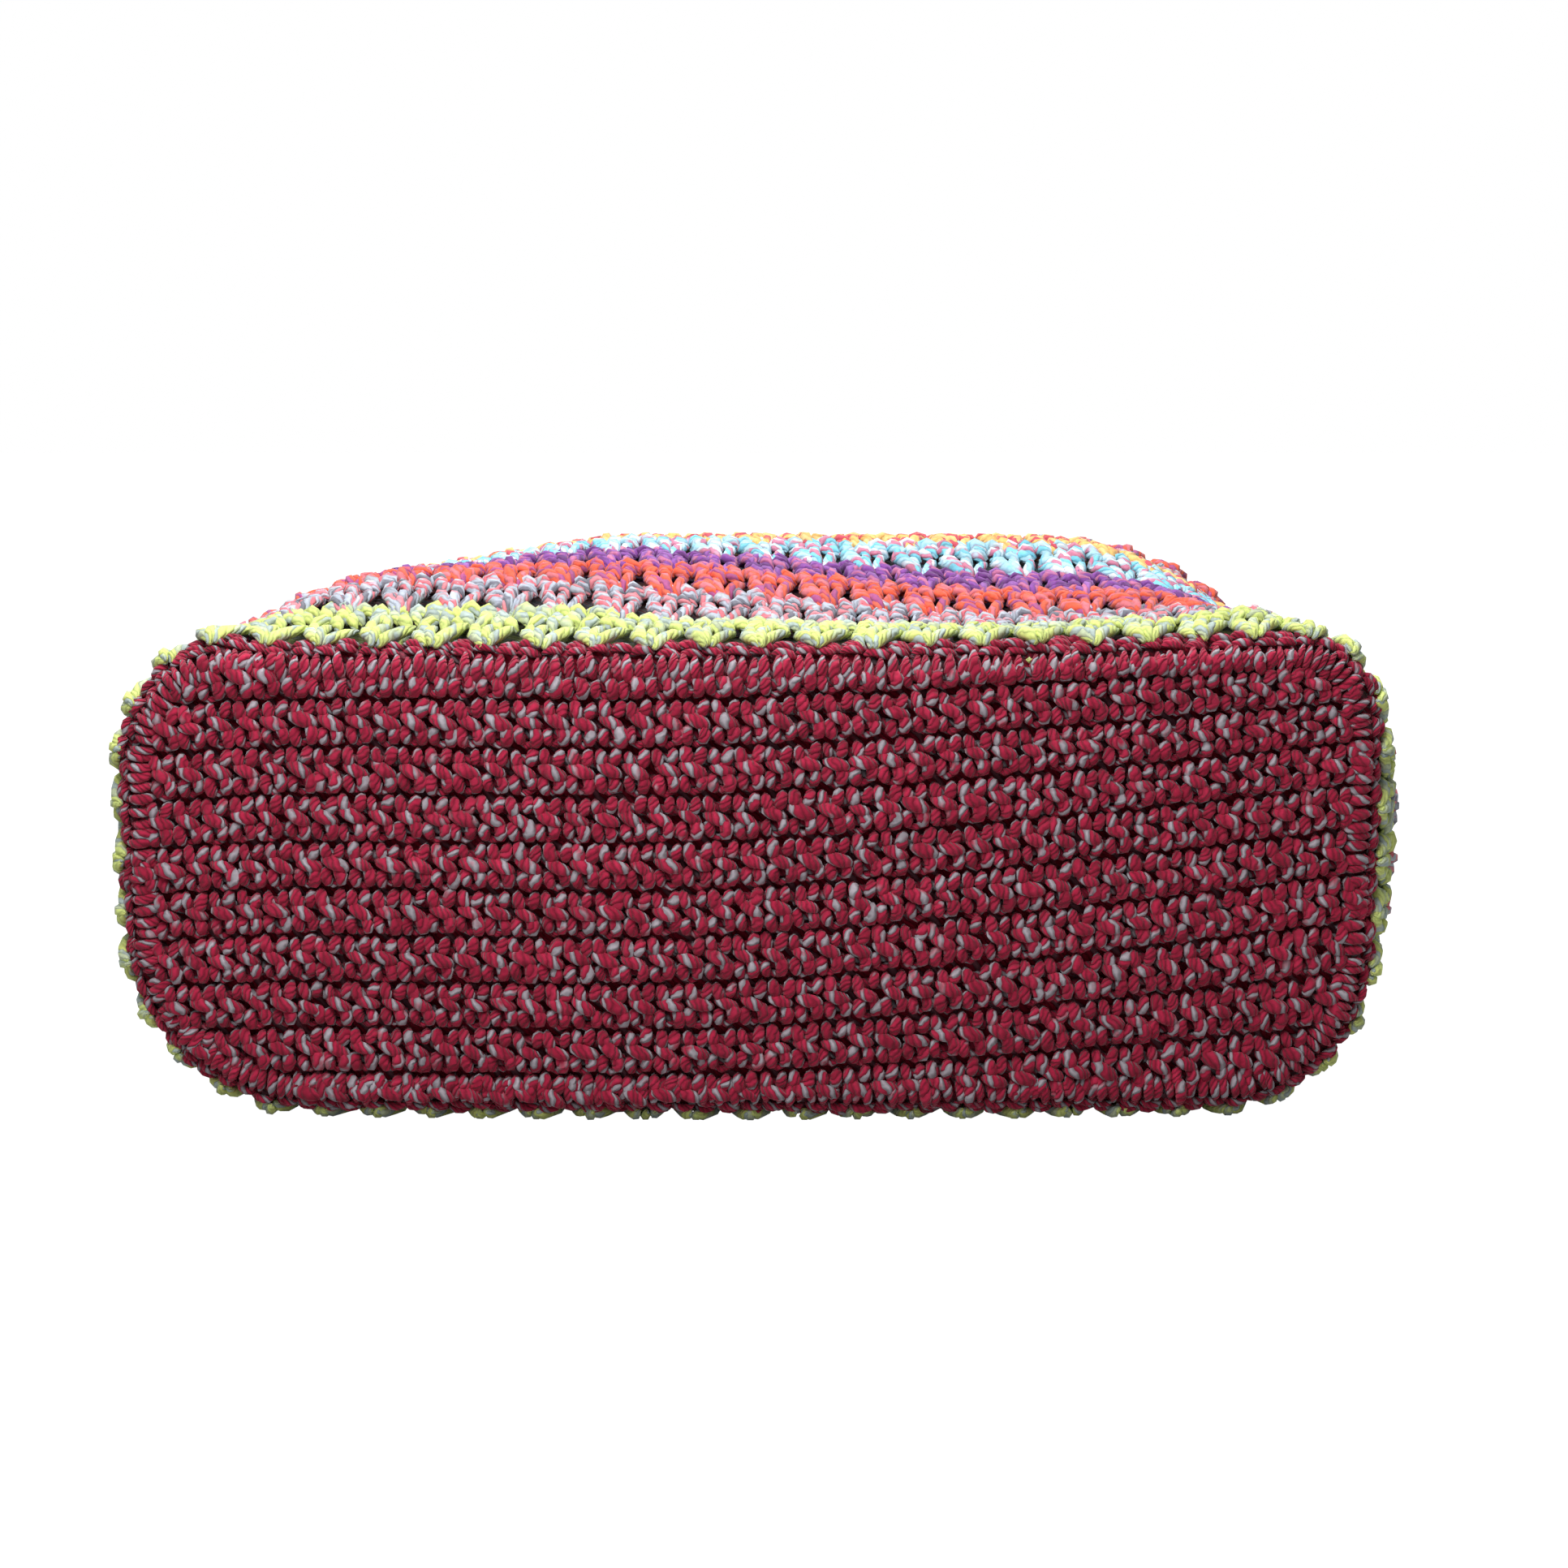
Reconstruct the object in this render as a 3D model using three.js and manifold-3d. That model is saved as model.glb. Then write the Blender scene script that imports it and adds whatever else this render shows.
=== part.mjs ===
// A crochet shoulder bag, lying on its back wall with its base panel to the front.
// Millimetres. +X runs along the base's long side, +Y from the base to the mouth, +Z up.
import * as THREE from "three";
import { mergeVertices } from "three/addons/utils/BufferGeometryUtils.js";
import Module from "manifold-3d";

// Base panel: rows of single crochet inside an edging round.
const baseWidth = 300;
const baseHeight = 113;
const baseThickness = 6;
const baseCrown = 3;
const baseBow = 7;
const bowLength = 70;
const baseInset = 3;
const baseLift = 3.5;
const edgingWidth = 6.5;
const edgingProud = 0.9;
const edgingCrest = 0.4;
const edgingSeam = 0.5;
const rowDepth = 5.7;
const rowGroove = 2.6;
const rowShoulder = 0.4;
const legPlace = 0.3;
const dashPlace = 0.7;

// How far the base's rows climb towards the right end, at the panel's foot, middle and head.
const riseAtFoot = 10;
const riseAtMiddle = 14;
const riseAtHead = 5.5;
const riseStart = 27;
const risePower = 1.35;
const rowDroop = 3;
const droopWidth = 60;

// Wall: striped rounds of clusters, each round in yarn of its own colour.
const clusterCount = 60;
const roundDepth = 14.3;
const wallThickness = 4.5;
const footProud = 0.6;
const footDent = 2.3;
const crownProud = 1.5;
const crownPlace = 0.5;

// Rim: rounds of single crochet that draw the mouth in.
const rimRows = 6;
const rimCrest = 0.9;
const rimGroove = 1.5;

// Shoulder strap: a band in short rows, from one side fold of the rim to the other.
const strapWidth = 42;
const strapThickness = 5.5;
const strapStraight = 120;
const strapBow = 150;
const strapBlend = 70;
const strapDrop = 130;
const strapLean = 18;
const strapCrest = 0.7;

// Gap between pieces that touch, and how finely the hidden faces are divided.
const clearance = 0.3;
const innerPoints = 30;
const baseSteps = 12;

const rowPair = 2 * rowDepth;
const stripes = [
  { name: "yellow", color: 0xdfe88c },
  { name: "grey_pink", color: 0xc9a5ab },
  { name: "coral", color: 0xe8695a },
  { name: "purple", color: 0x8a3a8c },
  { name: "light_blue", color: 0x93d3e4 },
  { name: "gold", color: 0xf0a94a },
];
const repeats = 2;
const wallDepth = stripes.length * repeats * roundDepth;
const rimDepth = rimRows * rowDepth;
const bodyDepth = wallDepth + rimDepth;
const crimson = 0xa8233f;

// The slack wall's section, from the base to the mouth. share is of the wall's and rim's depth.
// widen and rise are beyond the base's own half width and height, shift moves the section to the
// right, floor is the height of its underside, and the rest are its four corner radii.
const sections = [
  { share: 0, widen: 3, shift: 0, floor: 1.8, rise: 3, topLeft: 34, topRight: 28, bottomLeft: 44, bottomRight: 38 },
  { share: 0.07, widen: 7.2, shift: 2, floor: 0, rise: 8, topLeft: 58, topRight: 48, bottomLeft: 58, bottomRight: 56 },
  { share: 0.15, widen: 7, shift: 2, floor: 0, rise: 14, topLeft: 72, topRight: 64, bottomLeft: 48, bottomRight: 46 },
  { share: 0.38, widen: 4, shift: 1, floor: 0, rise: 21.5, topLeft: 78, topRight: 80, bottomLeft: 36, bottomRight: 34 },
  { share: 0.62, widen: 7, shift: 0, floor: 0, rise: 15, topLeft: 64, topRight: 62, bottomLeft: 34, bottomRight: 34 },
  { share: 0.83, widen: 10, shift: 0, floor: 0, rise: -3, topLeft: 52, topRight: 52, bottomLeft: 34, bottomRight: 34 },
  { share: 1, widen: 11, shift: 0, floor: 0, rise: -20, topLeft: 44, topRight: 44, bottomLeft: 34, bottomRight: 34 },
];
const sectionKeys = Object.keys(sections[0]).filter((key) => key !== "share");
const sectionCurve = new THREE.CubicInterpolant(
  sections.map((s) => s.share * bodyDepth),
  sections.flatMap((s) => sectionKeys.map((key) => s[key])),
  sectionKeys.length,
);

// Three soft places in the upper wall: a hollow behind the middle, the left shoulder's slump, and
// the base's right upper corner, which stands up a little.
const hollow = { depth: 8, x: 75, y: 41, width: 75, length: 28 };
const slump = { depth: 7.6, from: 30, to: 90, start: 28, end: 66 };
const perk = { height: 3, from: 30, to: 115, length: 20 };

const { smoothstep, lerp, clamp, degToRad } = THREE.MathUtils;

function softLift(x, y) {
  const across = Math.exp(-(((x - hollow.x) / hollow.width) ** 2));
  const back = Math.exp(-(((y - hollow.y) / hollow.length) ** 4));
  const sag = smoothstep(-x, slump.from, slump.to) * smoothstep(y, slump.start, slump.end);
  const rise = smoothstep(x, perk.from, perk.to) * (1 - smoothstep(y, 0, perk.length));
  return perk.height * rise - hollow.depth * across * back - slump.depth * sag;
}

// The base bulges to the front between its two ends, and takes the first rounds with it.
function bow(x, y) {
  const middle = Math.max(0, 1 - ((2 * x) / baseWidth) ** 2);
  return baseBow * middle * (1 - smoothstep(y, 0, bowLength));
}

function sectionAt(y) {
  const values = sectionCurve.evaluate(clamp(y, 0, bodyDepth));
  const s = Object.fromEntries(sectionKeys.map((key, i) => [key, values[i]]));
  const halfWidth = baseWidth / 2 + s.widen;
  const bottom = Math.max(s.floor, 0);
  const top = baseLift + baseHeight + s.rise;
  const room = top - bottom;
  const fit = Math.min(1, room / (s.topLeft + s.bottomLeft), room / (s.topRight + s.bottomRight));
  const radius = (key) => fit * s[key];
  return { halfWidth, shift: s.shift, bottom, top, radius };
}

// The wall's outer line at one depth, walked once round from the middle of the underside to +X.
function outlineAt(y) {
  const { halfWidth, shift, bottom, top, radius } = sectionAt(y);
  const right = Math.PI / 2;
  const corner = (path, key, x, z, from) => {
    const r = radius(key);
    path.absarc(shift + x - Math.sign(x) * r, z === top ? z - r : z + r, r, from, from + right);
  };
  const path = new THREE.Path();
  path.moveTo(0, bottom);
  corner(path, "bottomRight", halfWidth, bottom, -right);
  corner(path, "topRight", halfWidth, top, 0);
  corner(path, "topLeft", -halfWidth, top, right);
  corner(path, "bottomLeft", -halfWidth, bottom, 2 * right);
  path.lineTo(0, bottom);
  return { path, y, bottom, height: top - bottom };
}

// A point of an outline, set out from it by proud, and never under the surface the bag lies on.
function pointOn(outline, share, proud, y = outline.y) {
  const at = outline.path.getPoint(share % 1);
  const along = outline.path.getTangent(share % 1);
  const x = at.x + proud * along.y;
  const z = at.y - proud * along.x;
  const lift = (softLift(at.x, outline.y) * (at.y - outline.bottom)) / outline.height;
  return new THREE.Vector3(x, y - bow(x, outline.y), Math.max(0, z + lift));
}

// One closed row of points at a depth. proud is a length, or a function of the point's number.
function loop(outline, count, turn, proud, y = outline.y) {
  return Array.from({ length: count }, (_, i) =>
    pointOn(outline, (turn + i / count) % 1, typeof proud === "function" ? proud(i) : proud, y),
  );
}

// Closed skin over rows of points that may differ in number, the last row joined to the first.
function skin(loops) {
  const corners = [];
  const face = (a, b, c) => corners.push(a, b, c);
  loops.forEach((a, k) => {
    const b = loops[(k + 1) % loops.length];
    let i = 0;
    let j = 0;
    while (i < a.length || j < b.length) {
      const here = a[i % a.length];
      const there = b[j % b.length];
      const bFirst = j < b.length && (i === a.length || (j + 1) * a.length <= (i + 1) * b.length);
      if (bFirst) face(here, there, b[++j % b.length]);
      else face(here, there, a[++i % a.length]);
    }
  });
  return new THREE.BufferGeometry().setFromPoints(corners);
}

// A round of clusters: feet with dents between them, a full crown, and heads that touch. Each
// cluster is worked into the head of the one in front, so they stand in line round after round.
function clusterRound(start, end) {
  const front = outlineAt(start);
  const back = outlineAt(end);
  const crown = outlineAt(lerp(start, end, crownPlace));
  return skin([
    loop(front, 2 * clusterCount, 0, (i) => (i % 2 ? -footDent : footProud)),
    loop(crown, clusterCount, 0, crownProud),
    loop(back, clusterCount, 0, 0),
    loop(back, innerPoints, 0, -wallThickness),
    loop(front, innerPoints, 0, -wallThickness),
  ]);
}

// The rim: pairs of single crochet rounds, crest and groove in turn.
function rimBand(start, end) {
  const rows = Array.from({ length: rimRows + 1 }, (_, i) => {
    const outline = outlineAt(lerp(start, end, i / rimRows));
    const atEdge = i === 0 || i === rimRows;
    const groove = atEdge ? 0 : -rimGroove;
    return loop(outline, clusterCount, 0, i % 2 ? rimCrest : groove);
  });
  return skin([
    ...rows,
    loop(outlineAt(end), innerPoints, 0, -wallThickness),
    loop(outlineAt(start), innerPoints, 0, -wallThickness),
  ]);
}

const wasm = await Module();
wasm.setup();

function solidOf(geometry) {
  geometry.deleteAttribute("normal");
  geometry.deleteAttribute("uv");
  const merged = mergeVertices(geometry, 1e-4);
  return new wasm.Manifold(
    new wasm.Mesh({
      numProp: 3,
      vertProperties: merged.attributes.position.array,
      triVerts: new Uint32Array(merged.index.array),
    }),
  );
}

function geometryOf(solid) {
  const mesh = solid.getMesh();
  return new THREE.BufferGeometry()
    .setAttribute("position", new THREE.BufferAttribute(mesh.vertProperties, 3))
    .setIndex(new THREE.BufferAttribute(mesh.triVerts, 1));
}

// How far a row of the base is moved up at x, the row's own height being z.
function rowRise(x, z) {
  const v = clamp((z - baseLift) / baseHeight, 0, 1);
  const climb = riseAtFoot * (1 - 2 * v) * (1 - v) + riseAtMiddle * 4 * v * (1 - v) + riseAtHead * v * (2 * v - 1);
  const right = Math.max(0, (x + riseStart) / (baseWidth / 2 + riseStart)) ** risePower;
  const left = Math.max(0, (droopWidth - baseWidth / 2 - x) / droopWidth);
  return climb * right - rowDroop * left * left;
}

// The rows as one ribbed sheet, larger all round than the panel, which its outline then cuts.
function rowSheet() {
  const margin = Math.max(riseAtFoot, riseAtMiddle, riseAtHead) + rowPair;
  const pairs = Math.ceil((baseHeight + 2 * margin) / rowPair);
  const low = baseLift - margin;
  const profile = new THREE.Shape();
  profile.moveTo(low, 0);
  for (let i = 0; i < pairs; i++) {
    const foot = low + i * rowPair;
    profile.lineTo(foot, baseThickness - rowGroove);
    profile.lineTo(foot + legPlace * rowPair, baseThickness - rowShoulder);
    profile.lineTo(foot + dashPlace * rowPair, baseThickness);
  }
  profile.lineTo(low + pairs * rowPair, baseThickness - rowGroove);
  profile.lineTo(low + pairs * rowPair, 0);
  profile.closePath();
  const sheet = new THREE.ExtrudeGeometry(profile, {
    depth: baseWidth,
    steps: baseSteps,
    bevelEnabled: false,
  });
  // The profile was drawn upright and its run is the panel's length: turn it into place.
  const at = sheet.attributes.position;
  for (let i = 0; i < at.count; i++) {
    const x = at.getZ(i) - baseWidth / 2;
    const z = at.getX(i);
    const across = 1 - (2 * x / baseWidth) ** 2;
    const up = 1 - ((2 * (z - baseLift)) / baseHeight - 1) ** 2;
    const crown = baseCrown * Math.max(0, across) * Math.max(0, up);
    at.setXYZ(i, x, -at.getY(i) - crown - bow(x, 0), z + rowRise(x, z));
  }
  return solidOf(sheet);
}

// The panel lies in front of the wall's first round, its back face on the plane y = -clearance.
function basePanel() {
  const outline = outlineAt(0);
  const back = -clearance;
  const front = back - baseThickness;
  const outer = -baseInset;
  const inner = outer - edgingWidth;
  const inside = loop(outline, clusterCount, 0, inner + edgingSeam).map((p) => new THREE.Vector2(p.x, p.z));
  const reach = baseThickness + baseCrown + baseBow + 1;
  const block = new THREE.ExtrudeGeometry(new THREE.Shape(inside), { depth: 2 * reach, bevelEnabled: false });
  block.rotateX(Math.PI / 2);
  block.translate(0, reach, 0);
  const rows = rowSheet().translate([0, back, 0]).intersect(solidOf(block));
  const edging = skin([
    loop(outline, clusterCount, 0, outer, back),
    loop(outline, clusterCount, 0, inner, back),
    loop(outline, clusterCount, 0, inner, front + rowGroove),
    loop(outline, clusterCount, 0, outer - edgingCrest * edgingWidth, front - edgingProud),
    loop(outline, clusterCount, 0, outer + footProud, (back + front) / 2),
  ]);
  return geometryOf(solidOf(edging).add(rows));
}

// Three points across the strap, where it grows out of the rim's side fold.
function strapRoot(side) {
  const outline = outlineAt(bodyDepth);
  const { path } = outline;
  const steps = 4 * clusterCount;
  let fold = 0;
  let reach = 0;
  for (let i = 0; i < steps; i++) {
    const x = side * path.getPoint(i / steps).x;
    if (x > reach + 1e-6) [fold, reach] = [i / steps, x];
  }
  const half = strapWidth / 2 / path.getLength();
  const middle = fold + (side > 0 ? half / 2 : 0);
  return [-1, 0, 1].map((k) => {
    const share = middle + side * k * half;
    return { outer: pointOn(outline, share, 0), inner: pointOn(outline, share, -strapThickness) };
  });
}

// The strap runs straight back from both side folds and meets itself in half an ellipse.
function strapRoute() {
  const x = baseWidth / 2 + sections.at(-1).widen - strapThickness / 2;
  const y = bodyDepth + clearance;
  const route = new THREE.CurvePath();
  const bend = new THREE.EllipseCurve(0, y + strapStraight, x, strapBow, Math.PI, 0, true);
  route.add(new THREE.LineCurve(new THREE.Vector2(-x, y), new THREE.Vector2(-x, y + strapStraight)));
  route.add(bend);
  route.add(new THREE.LineCurve(new THREE.Vector2(x, y + strapStraight), new THREE.Vector2(x, y)));
  return route;
}

function shoulderStrap() {
  const route = strapRoute();
  const length = route.getLength();
  const roots = { left: strapRoot(-1), right: strapRoot(1) };
  const rows = 2 * Math.round(length / rowPair);
  const rings = [];
  for (let i = 0; i <= rows; i++) {
    const at = route.getPoint(i / rows);
    const along = route.getTangent(i / rows);
    const fromEnd = Math.min(i, rows - i) * (length / rows);
    const crest = i % 2 ? strapCrest : 0;
    const lean = degToRad(strapLean) * smoothstep(fromEnd, 0, length / 2);
    const outward = new THREE.Vector3(-along.y, along.x, 0);
    const up = new THREE.Vector3(0, 0, Math.cos(lean)).addScaledVector(outward, Math.sin(lean));
    const through = outward.clone().multiplyScalar(Math.cos(lean)).add(new THREE.Vector3(0, 0, -Math.sin(lean)));
    const root = i < rows / 2 ? roots.left : roots.right;
    const rest = (strapWidth / 2) * Math.cos(lean) + (strapThickness / 2) * Math.sin(lean);
    const fall = smoothstep(fromEnd, 0, strapDrop);
    const height = lerp(root[1].outer.z, rest, fall);
    const join = smoothstep(fromEnd, 0, strapBlend);
    const place = (k, face) => {
      const free = new THREE.Vector3(at.x, at.y, height)
        .addScaledVector(up, (k * strapWidth) / 2)
        .addScaledVector(through, face * (strapThickness / 2 + crest));
      const rooted = (face > 0 ? root[k + 1].outer : root[k + 1].inner).clone();
      rooted.y = at.y;
      rooted.z += height - root[1].outer.z;
      const point = rooted.lerp(free, join);
      point.z = Math.max(0, point.z);
      return point;
    };
    rings.push([place(-1, 1), place(0, 1), place(1, 1), place(1, -1), place(0, -1), place(-1, -1)]);
  }
  const corners = [];
  const quad = (a, b, c, d) => corners.push(a, b, c, a, c, d);
  rings.slice(1).forEach((ring, i) => {
    ring.forEach((p, k) => {
      const next = (k + 1) % ring.length;
      quad(rings[i][k], rings[i][next], ring[next], p);
    });
  });
  const [first, last] = [rings[0], rings.at(-1)];
  const cap = (r) => {
    quad(r[0], r[5], r[4], r[1]);
    quad(r[1], r[4], r[3], r[2]);
  };
  cap(first);
  cap([last[2], last[1], last[0], last[5], last[4], last[3]]);
  return new THREE.BufferGeometry().setFromPoints(corners);
}

function piece(name, geometry, color) {
  const yarn = new THREE.MeshStandardMaterial({ color, roughness: 0.9, metalness: 0 });
  const mesh = new THREE.Mesh(geometry, yarn);
  mesh.name = name;
  return mesh;
}

const bag = new THREE.Group();
bag.add(piece("base_panel", basePanel(), crimson));
for (let i = 0; i < stripes.length * repeats; i++) {
  const { name, color } = stripes[i % stripes.length];
  const set = Math.floor(i / stripes.length) + 1;
  const geometry = clusterRound(i * roundDepth, (i + 1) * roundDepth - clearance);
  bag.add(piece(`${name}_round_${set}`, geometry, color));
}
bag.add(piece("rim_band", rimBand(wallDepth, bodyDepth), crimson));
bag.add(piece("shoulder_strap", shoulderStrap(), crimson));

// The origin is on the surface the bag lies on, under the middle of its box.
const box = new THREE.Box3().setFromObject(bag);
const middle = box.getCenter(new THREE.Vector3());
bag.position.set(-middle.x, -middle.y, -box.min.z);

export default bag;
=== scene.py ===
import math

import bpy
import numpy as np
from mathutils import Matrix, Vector


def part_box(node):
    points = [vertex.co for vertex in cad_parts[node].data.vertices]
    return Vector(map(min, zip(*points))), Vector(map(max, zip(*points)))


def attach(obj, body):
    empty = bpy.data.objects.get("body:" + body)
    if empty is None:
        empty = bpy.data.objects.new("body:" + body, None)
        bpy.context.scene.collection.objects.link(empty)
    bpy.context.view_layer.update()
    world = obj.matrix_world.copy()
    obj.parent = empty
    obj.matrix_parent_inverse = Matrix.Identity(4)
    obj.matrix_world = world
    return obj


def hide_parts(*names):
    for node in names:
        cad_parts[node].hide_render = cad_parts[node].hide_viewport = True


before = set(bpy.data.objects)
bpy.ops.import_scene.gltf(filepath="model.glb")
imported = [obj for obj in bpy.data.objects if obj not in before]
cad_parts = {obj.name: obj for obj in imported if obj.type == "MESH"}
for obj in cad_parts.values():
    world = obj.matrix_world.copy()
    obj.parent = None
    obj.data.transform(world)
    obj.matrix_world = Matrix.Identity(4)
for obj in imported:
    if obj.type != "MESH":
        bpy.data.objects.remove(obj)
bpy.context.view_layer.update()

bpy.ops.object.select_all(action="DESELECT")
chance = np.random.default_rng(11)

# The base panel's rows: ten pairs of rows of single crochet in crimson and grey marl yarn.
# They are worked back and forth, so each pair shows small legs, a slanted bar in front of
# each stitch, then round legs again, with a deep groove before the next pair.
base_width = 300
base_height = 113
base_thickness = 6
base_lift = 3.5
base_crown = 3
base_bow = 7
bow_length = 70
edging_inset = 3
edging_width = 6.5
clearance = 0.3
stitch_width = 6.7
row_pair = 11.4
rows_below = 25.4
rows_start = base_lift - rows_below
rise_foot = 10
rise_middle = 14
rise_head = 5.5
rise_start = 27
rise_power = 1.35
row_droop = 3
droop_width = 60

# Where the base's back face lies in the frame: the rim's far edge is the whole body's depth behind it.
round_depth = 14.3
wall_rounds = 12
rim_depth = 34.2
wall_depth = wall_rounds * round_depth
body_depth = wall_depth + rim_depth
back_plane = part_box("rim_band")[1].y * 1000 - body_depth

# The slack wall's section at seven depths: share of the depth, then how much wider than the base,
# its shift to the right, underside, how much higher than the base, and four corner radii
# (upper left, upper right, lower left, lower right).
wall_stations = np.array([
    (0.00, 3, 0, 1.8, 3, 34, 28, 44, 38),
    (0.07, 7.2, 2, 0, 8, 58, 48, 58, 56),
    (0.15, 7, 2, 0, 14, 72, 64, 48, 46),
    (0.38, 4, 1, 0, 21.5, 78, 80, 36, 34),
    (0.62, 7, 0, 0, 15, 64, 62, 34, 34),
    (0.83, 10, 0, 0, -3, 52, 52, 34, 34),
    (1.00, 11, 0, 0, -20, 44, 44, 34, 34),
])
station_depths = wall_stations[:, 0] * body_depth


def ease(value, start, end):
    """0 before start, 1 after end, and a soft step between them."""
    t = np.clip((value - start) / (end - start), 0, 1)
    return t * t * (3 - 2 * t)


def wall_section(depth):
    """Half width, shift, underside, top and the four corner radii at each depth."""
    t = np.clip(depth, 0, body_depth)
    after = np.clip(np.searchsorted(station_depths, t, side="right"), 1, len(station_depths) - 1)
    first = after == 1
    last = after == len(station_depths) - 1
    far_back = np.where(first, after, after - 2)
    far_on = np.where(last, after - 1, np.minimum(after + 1, len(station_depths) - 1))
    t0, t1 = station_depths[after - 1], station_depths[after]
    half = (t1 - t0) / 2
    back_weight = (half / (t0 - station_depths[far_back]))[..., None]
    on_weight = (half / (station_depths[far_on] - t1))[..., None]
    p = ((t - t0) / (t1 - t0))[..., None]
    p2, p3 = p * p, p * p * p
    values = wall_stations[:, 1:]
    mixed = (
        (-back_weight * p3 + 2 * back_weight * p2 - back_weight * p) * values[far_back]
        + ((1 + back_weight) * p3 - (1.5 + 2 * back_weight) * p2 + (back_weight - 0.5) * p + 1)
        * values[after - 1]
        + (-(1 + on_weight) * p3 + (1.5 + on_weight) * p2 + 0.5 * p) * values[after]
        + (on_weight * p3 - on_weight * p2) * values[far_on]
    )
    widen, shift, floor, rise, top_left, top_right, low_left, low_right = np.moveaxis(mixed, -1, 0)
    bottom = np.maximum(floor, 0)
    top = base_lift + base_height + rise
    room = top - bottom
    fit = np.minimum(1, np.minimum(room / (top_left + low_left), room / (top_right + low_right)))
    half_width = base_width / 2 + widen
    return half_width, shift, bottom, top, fit * top_left, fit * top_right, fit * low_left, fit * low_right


def base_bowing(x, depth):
    """How far the base's bulge carries a point to the front."""
    middle = np.maximum(0, 1 - (2 * x / base_width) ** 2)
    return base_bow * middle * (1 - ease(depth, 0, bow_length))


# How far the slack cloth gives, and where each sag starts and ends across the bag or in its depth.
hollow_sag = 8
hollow_middle = (75, 41)
hollow_reach = (75, 28)
slump_sag = 7.6
slump_across = (30, 90)
slump_depths = (28, 66)
perk_rise = 3
perk_across = (30, 115)
perk_depths = (0, 20)
edge_sag = 2.3
edge_dip = 1.6
edge_dip_middle = 100
edge_dip_reach = 30
left_edge_fade = (108, 138)
right_edge_fade = (128, 146)
round_sag = 0.3
round_dip = 2.4
round_dip_across = (-45, -20)
round_dip_less = 0.4
round_dip_less_across = (60, 90)
round_rise = 2.8
round_rise_across = (98, 124)
edge_to_wall = (2, 16)
round_fade = (16, 42)


def slack_lift(x, depth):
    """The hollow behind the middle, the left shoulder's slump, the perky right corner, and how far
    the yarn's own slack lets the edge of the base and the first rounds hang."""
    hollow_across = np.exp(-(((x - hollow_middle[0]) / hollow_reach[0]) ** 2))
    hollow = hollow_sag * hollow_across * np.exp(-(((depth - hollow_middle[1]) / hollow_reach[1]) ** 4))
    slump = slump_sag * ease(-x, *slump_across) * ease(depth, *slump_depths)
    perk = perk_rise * ease(x, *perk_across) * (1 - ease(depth, *perk_depths))
    edge_hang = edge_sag + edge_dip * np.exp(-(((x - edge_dip_middle) / edge_dip_reach) ** 2))
    edge_hang = edge_hang * (1 - ease(-x, *left_edge_fade)) * (1 - ease(x, *right_edge_fade))
    less_dip = 1 - round_dip_less * ease(x, *round_dip_less_across)
    round_hang = round_sag + round_dip * ease(x, *round_dip_across) * less_dip
    round_hang = round_hang - round_rise * ease(x, *round_rise_across)
    onto_wall = ease(depth, *edge_to_wall)
    hang = edge_hang * (1 - onto_wall) + round_hang * onto_wall * (1 - ease(depth, *round_fade))
    return perk - hollow - slump - hang


def wall_point(share, depth, proud, y=None):
    """A point of the slack wall: share goes once round from the middle of the underside towards
    +X, depth runs from the base to the mouth, and proud stands out from the cloth. Where y is
    given, the point lies there and keeps the section at its depth."""
    share, depth, proud = np.broadcast_arrays(share, depth, proud)
    half, shift, bottom, top, top_left, top_right, low_left, low_right = wall_section(depth)
    right = shift + half
    left = shift - half
    quarter = math.pi / 2
    # A straight stretch is its length, its start and its direction. A corner, which follows each of
    # them but the last, is its radius, its centre and the angle at which it starts.
    stretches = [
        (right - low_right, (0 * bottom, bottom), (1, 0)),
        (low_right, (right - low_right, bottom + low_right), -quarter),
        (top - top_right - bottom - low_right, (right, bottom + low_right), (0, 1)),
        (top_right, (right - top_right, top - top_right), 0),
        (right - top_right - left - top_left, (right - top_right, top), (-1, 0)),
        (top_left, (left + top_left, top - top_left), quarter),
        (top - top_left - bottom - low_left, (left, top - top_left), (0, -1)),
        (low_left, (left + low_left, bottom + low_left), 2 * quarter),
        (-left - low_left, (left + low_left, bottom), (1, 0)),
    ]
    is_corner = [number % 2 == 1 for number in range(len(stretches))]
    lengths = [quarter * size if corner else size for corner, (size, _, _) in zip(is_corner, stretches)]
    travel = (share % 1) * sum(lengths)
    x, z, way_x, way_z = (np.zeros(travel.shape) for _ in range(4))
    begin = np.zeros(travel.shape)
    for number, (size, (from_x, from_z), way) in enumerate(stretches):
        length = lengths[number]
        here = (travel >= begin) & ((travel < begin + length) | (number == len(stretches) - 1))
        t = travel - begin
        if is_corner[number]:
            turn = way + t / np.maximum(size, 1e-6)
            here_way_x = -np.sin(turn)
            here_way_z = np.cos(turn)
            here_x = from_x + size * here_way_z
            here_z = from_z - size * here_way_x
        else:
            here_way_x = way[0] + 0 * t
            here_way_z = way[1] + 0 * t
            here_x = from_x + way[0] * t
            here_z = from_z + way[1] * t
        x = np.where(here, here_x, x)
        z = np.where(here, here_z, z)
        way_x = np.where(here, here_way_x, way_x)
        way_z = np.where(here, here_way_z, way_z)
        begin = begin + length
    lift = slack_lift(x, depth) * (z - bottom) / (top - bottom)
    out_x = x + proud * way_z
    out_z = np.maximum(0, z - proud * way_x + lift)
    out_y = (depth if y is None else y) - base_bowing(out_x, depth)
    return np.stack([out_x, out_y, out_z], axis=-1)


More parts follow.
